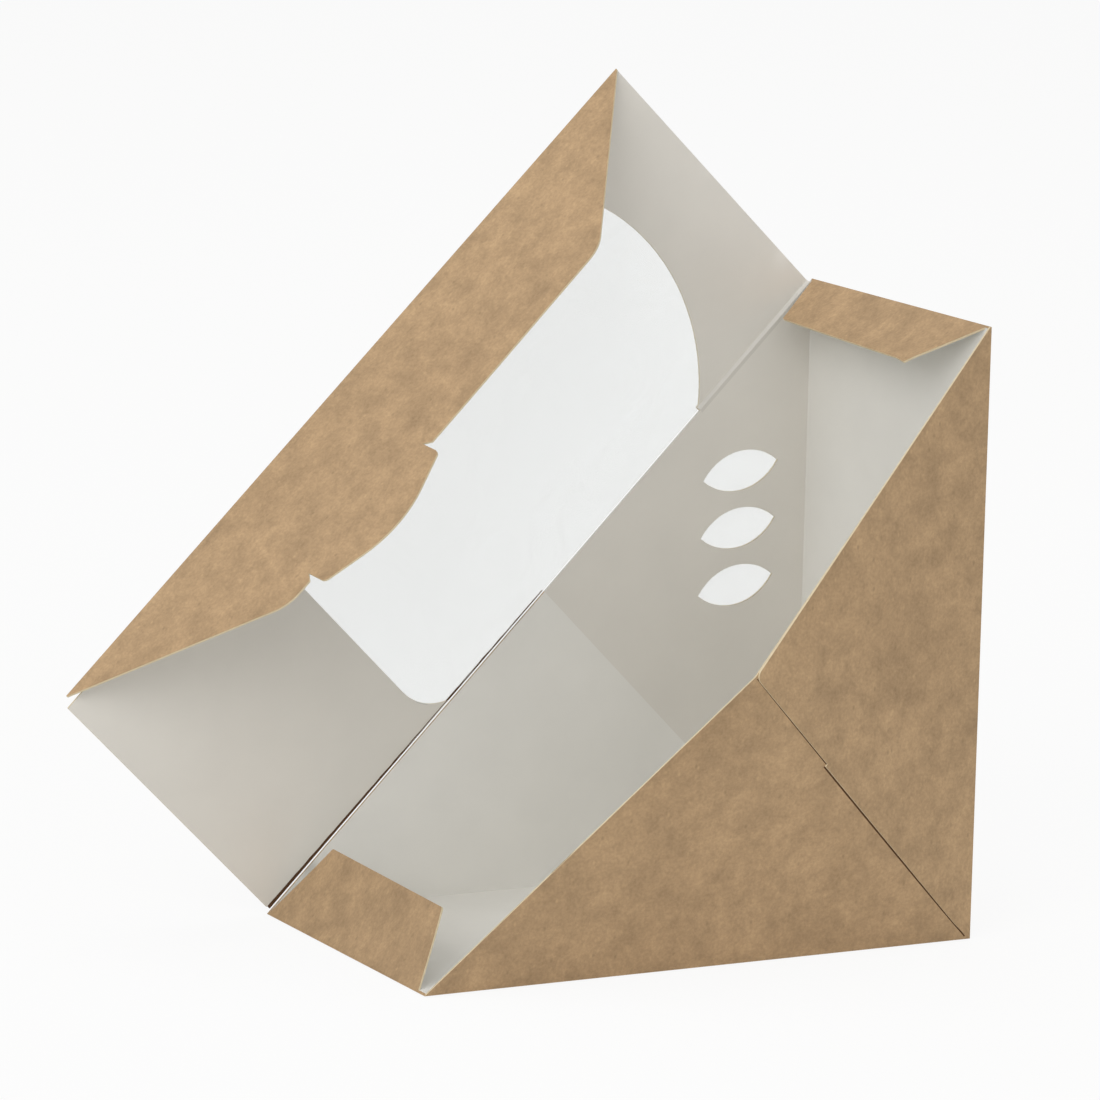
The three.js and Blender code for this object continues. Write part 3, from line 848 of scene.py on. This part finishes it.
class CARTON_OT_tuck_flap(bpy.types.Operator):
    """The tuck flap with its locking tab, and the fold that joins it to the lid"""
    bl_idname = "wedge.tuck_flap"
    bl_label = "Tuck flap"

    def execute(self, context):
        settings = context.scene.wedge_board
        depth, spacing = settings.thickness / MM, settings.mesh / MM
        first, last = LID_END + TUCK_INSET, mouth_length - LID_END - TUCK_INSET
        outline = rounded([
            [first, 0], [last, 0], [last - TUCK_TAPER, TUCK_DEPTH, TUCK_RADIUS],
            [TAB_END + NICK_WIDTH, TUCK_DEPTH], [TAB_END, NICK_FOOT],
            [TAB_END, TAB_SHOULDER, 1.6], [(TAB_START + TAB_END) / 2, TAB_DEPTH, 30],
            [TAB_START, TAB_SHOULDER, 1.6], [TAB_START, NICK_FOOT],
            [TAB_START - NICK_WIDTH, TUCK_DEPTH], [first + TUCK_TAPER, TUCK_DEPTH, TUCK_RADIUS]])
        fold, down, out = tuck_frame()

        def place(xy, inset):
            """The flap curls outwards a little towards its free edge: rise = 0.4 (y / 44)^2."""
            wave = 0.2 * np.sin(xy[:, :1] / 21 + 0.5) * np.clip(xy[:, 1:] / TUCK_DEPTH, 0, 1)
            rise = depth - inset + 0.4 * (xy[:, 1:] / 44) ** 2 + wave
            return fold - xy[:, :1] * mouth_up + (xy[:, 1:] + GAP / 2) * down + rise * out
        made = piece("tuck_board", board([outline], place, depth, spacing), board_finishes(),
                     "tuck_flap", settings.crease)
        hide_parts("tuck_flap")
        self.fold_crease(depth, first, last)
        return {"FINISHED"}

    def fold_crease(self, depth, first, last):
        """Rounded fold: the kraft face is an arc of one board's radius about the fold line, from
        the lid's outer face round to the flap's."""
        fold, down, out = tuck_frame()
        angle = np.linspace(0, 1, 9)[:, None]
        turn = math.pi - math.radians(TUCK_ANGLE)
        arc = (np.cos(angle * turn) * y_axis + np.sin(angle * turn) * mouth_out) * (depth + 0.01)
        lid_end, root = -GAP / 2 * mouth_out, GAP / 2 * down
        profile = np.concatenate([
            [lid_end - 0.01 * y_axis, lid_end + (depth + 0.01) * y_axis], arc,
            [root + (depth + 0.01) * out, root - 0.01 * out]])
        sides = [EDGE] + [KRAFT] * 10 + [EDGE, LINING]
        made = piece("tuck_crease",
                     swept(profile, fold - first * mouth_up, fold - last * mouth_up, 58, sides),
                     board_finishes(), None)
        start, end = ((fold + way) * MM for way in (lid_end * 2, root * 2))
        tuple(start)
        tuple(end)
        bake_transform(made)


class CARTON_OT_films(bpy.types.Operator):
    """Clear film over the lid's window and behind the side windows"""
    bl_idname = "wedge.films"
    bl_label = "Films"

    def execute(self, context):
        depth = context.scene.wedge_board.film / MM
        film = film_finish()

        def slack(xy):
            """Slack film: creases 4 to 9 mm apart beside the slit, which die out inwards."""
            x, y = xy[:, 0], xy[:, 1]
            near_slit = np.exp(-(y / 13) ** 2) * np.clip((x - 72) / 15, 0, 1)
            wave = np.sin(x * 0.5 + 0.35 * y) + 0.7 * np.sin(x * 0.9 + 0.6 * y + 1)
            return 0.08 * near_slit * wave - 0.25

        def behind(xy, inset):
            """A side window's pane: a flat sheet in the middle of the far side's board."""
            level = np.full(len(xy), WIDTH / 2 - 0.15 - inset)
            return np.stack([xy[:, 0], level, xy[:, 1]], 1)

        hidden = 0.25
        outline = window_outline(-hidden, HINGE_CLEAR / 2)
        made = piece("lid_film", board([outline], lid_place(slack), depth, 1.6, (0, 0, 0)),
                     [film], "lid")
        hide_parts("lid_window_film")
        for i, hole in enumerate(side_windows(hidden)):
            made = piece(f"side_film_{i + 1}", board([hole], behind, depth, 2.5, (0, 0, 0)),
                         [film], "carton")
            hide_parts(f"side_window_film_{i + 1}")
        return {"FINISHED"}


def seen_by(tree, *kinds):
    """Output that is 1 for rays of the kinds named, and 0 for all others."""
    path = add(tree, "ShaderNodeLightPath")
    seen = path.outputs[kinds[0]]
    for kind in kinds[1:]:
        seen = add(tree, "ShaderNodeMath", {0: seen, 1: path.outputs[kind]},
                   operation="MAXIMUM").outputs[0]
    return seen


class CARTON_OT_stage(bpy.types.Operator):
    """Pale floor, soft studio light, and the camera at the photograph's angle"""
    bl_idname = "wedge.stage"
    bl_label = "Stage"

    def execute(self, context):
        self.floor()
        self.lights()
        self.world()
        self.camera(context)
        context.scene.view_settings.view_transform = "Standard"
        return {"FINISHED"}

    def floor(self):
        """Floor: a flat square just under the pack. It is white to the camera, and elsewhere a
        pale paper that bounces light."""
        x, y = np.meshgrid([-3.0, 3.0], [-3.0, 3.0])
        points = np.stack([x.ravel(), y.ravel(), np.full(4, -0.0002)], 1)
        mesh = bpy.data.meshes.new("floor")
        mesh.from_pydata(points, [], [(0, 1, 3, 2)])
        made = bpy.data.objects.new("floor", mesh)
        bpy.context.scene.collection.objects.link(made)
        material, tree = new_material("matt white studio floor")
        pale = add(tree, "ShaderNodeBsdfDiffuse", {"Color": linear("#E6E6E4")})
        white = add(tree, "ShaderNodeEmission", {"Color": linear("#FFFFFF"), "Strength": 1.0})
        seen = seen_by(tree, "Is Camera Ray", "Is Transmission Ray")
        share = add(tree, "ShaderNodeMath", {0: seen, 1: 0.9}, operation="MULTIPLY")
        mixed = add(tree, "ShaderNodeMixShader", {0: share.outputs[0], 1: pale.outputs[0],
                                                  2: white.outputs[0]})
        finish_material(tree, mixed)
        mesh.materials.append(material)

    def lights(self):
        """Large soft boxes: a key high in front of the mouth, a fill and a top light."""
        boxes = {"key": ((-1.6, -1.1, 1.2), 1.5, 22), "fill": ((-0.2, -2.2, 0.9), 1.6, 7),
                 "top": ((0.1, 0.2, 2.2), 1.6, 12)}
        for name, (place, size, power) in boxes.items():
            light = bpy.data.lights.new(name, "AREA")
            light.size = size
            light.energy = power
            made = bpy.data.objects.new(name, light)
            made.location = place
            aim = Vector((0, 0, 0.07)) - made.location
            made.rotation_euler = aim.to_track_quat("-Z", "Y").to_euler()
            bpy.context.scene.collection.objects.link(made)

    def world(self):
        """Even light from all round, and plain white where the camera looks past the floor."""
        world = bpy.data.worlds.new("studio")
        bpy.context.scene.world = world
        world.use_nodes = True
        tree = world.node_tree
        tree.nodes.clear()
        seen = seen_by(tree, "Is Camera Ray", "Is Glossy Ray", "Is Transmission Ray")
        around = add(tree, "ShaderNodeBackground", {"Color": (1, 1, 1, 1), "Strength": 0.5})
        white = add(tree, "ShaderNodeBackground", {"Color": (1, 1, 1, 1), "Strength": 1.0})
        mixed = add(tree, "ShaderNodeMixShader", {0: seen, 1: around.outputs[0],
                                                  2: white.outputs[0]})
        add(tree, "ShaderNodeOutputWorld", {"Surface": mixed.outputs[0]})

    def camera(self, context):
        """Long lens about 1.2 m away. The three rows are the camera's right, down and forward."""
        right, down, forward = np.array([[0.869799, -0.491638, 0.041735],
                                         [-0.056172, -0.182705, -0.981562],
                                         [0.490199, 0.851417, -0.186533]])
        data = bpy.data.cameras.new("camera")
        data.sensor_width = 36
        data.lens = 191.75
        made = bpy.data.objects.new("camera", data)
        turned = np.stack([right, -down, -forward], 1)
        made.matrix_world = (Matrix.Translation((-0.577183, -0.968758, 0.289340))
                             @ Matrix(turned.tolist()).to_4x4())
        context.scene.collection.objects.link(made)
        context.scene.camera = made


class CARTON_PT_panel(bpy.types.Panel):
    """Sidebar panel that lists the pack's pieces"""
    bl_idname = "CARTON_PT_panel"
    bl_label = "Wedge pack"
    bl_space_type = "VIEW_3D"
    bl_region_type = "UI"
    bl_category = "Wedge pack"

    def draw(self, context):
        for settings in (context.scene.wedge_board, context.scene.wedge_windows):
            for name in settings.bl_rna.properties.keys()[2:]:
                self.layout.prop(settings, name)
        for operator in OPERATORS:
            self.layout.operator(operator.bl_idname)


OPERATORS = (CARTON_OT_shell, CARTON_OT_seam, CARTON_OT_dust_flaps, CARTON_OT_lid,
             CARTON_OT_tuck_flap, CARTON_OT_films, CARTON_OT_stage)
CLASSES = (BoardSettings, WindowSettings, *OPERATORS, CARTON_PT_panel)


def register():
    for cls in CLASSES:
        bpy.utils.register_class(cls)
    bpy.types.Scene.wedge_board = bpy.props.PointerProperty(type=BoardSettings)
    bpy.types.Scene.wedge_windows = bpy.props.PointerProperty(type=WindowSettings)


def unregister():
    del bpy.types.Scene.wedge_windows
    del bpy.types.Scene.wedge_board
    for cls in reversed(CLASSES):
        bpy.utils.unregister_class(cls)


def main():
    register()
    bpy.ops.wedge.carton_shell()
    bpy.ops.wedge.near_seam()
    bpy.ops.wedge.dust_flaps()
    bpy.ops.wedge.lid()
    bpy.ops.wedge.tuck_flap()
    bpy.ops.wedge.films()
    bpy.ops.wedge.stage()


if __name__ == "__main__":
    main()
